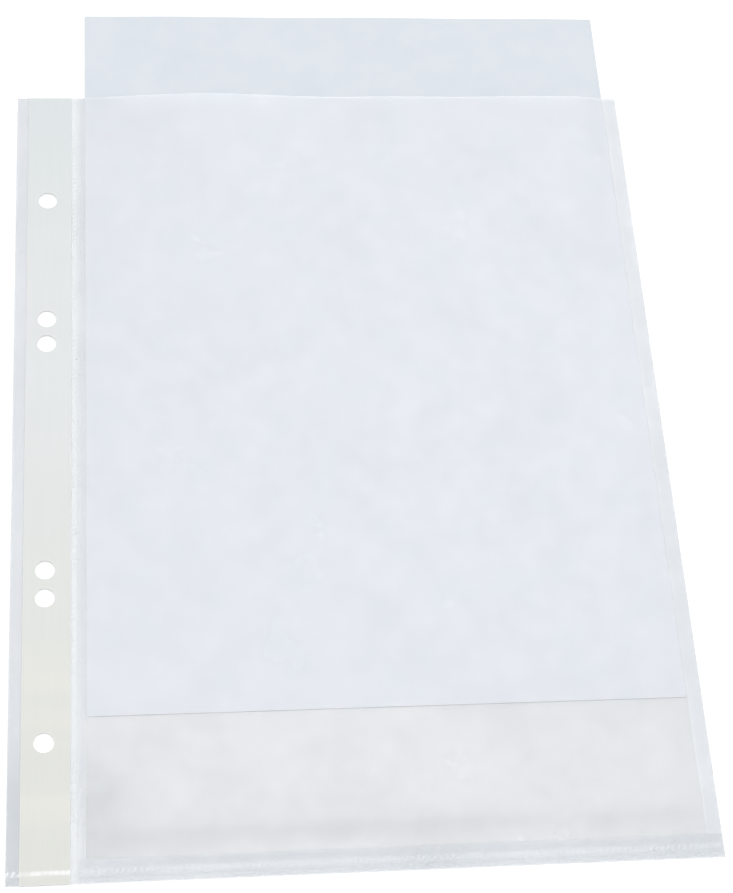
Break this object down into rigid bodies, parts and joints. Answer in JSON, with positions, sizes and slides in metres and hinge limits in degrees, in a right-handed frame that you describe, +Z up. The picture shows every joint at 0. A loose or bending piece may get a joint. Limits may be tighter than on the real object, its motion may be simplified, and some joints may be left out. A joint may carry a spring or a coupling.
{
  "type": "sheet protector",
  "caption": "Punched clear film pocket for a ring binder, with a cream reinforcing strip and an A4 paper sheet that slides in at the open top; the pocket turns over like a page.",
  "frame": {"origin": "middle of the footprint, on the underside of the film", "axes": "+X from the binding strip to the fold, +Y from the bottom weld to the open mouth, +Z up out of the front film"},
  "size_m": [0.242, 0.354, 0.0005],
  "materials": {
    "clear_film": "clear soft film with a faint haze",
    "cream_strip": "smooth cream tape under a soft gloss",
    "paper": "smooth bluish white office paper"
  },
  "bodies": {
    "binding": {"binding_margin": "clear_film", "reinforcing_strip": "cream_strip", "long_weld": "clear_film"},
    "pocket": {"hinge_edge": "clear_film", "back_film": "clear_film", "front_film": "clear_film", "side_fold": "clear_film", "bottom_weld": "clear_film"},
    "paper": {"paper_sheet": "paper"}
  },
  "joints": [
    {"name": "page_turn", "type": "hinge", "parent": "binding", "child": "pocket", "pos_m": [-0.097, -0.02025, 0.0005], "axis": [0, -1, 0], "range_deg": [0, 180]},
    {"name": "paper_slide", "type": "slide", "parent": "pocket", "child": "paper", "axis": [0, 1, 0], "range_m": [-0.048, 0.257]}
  ]
}
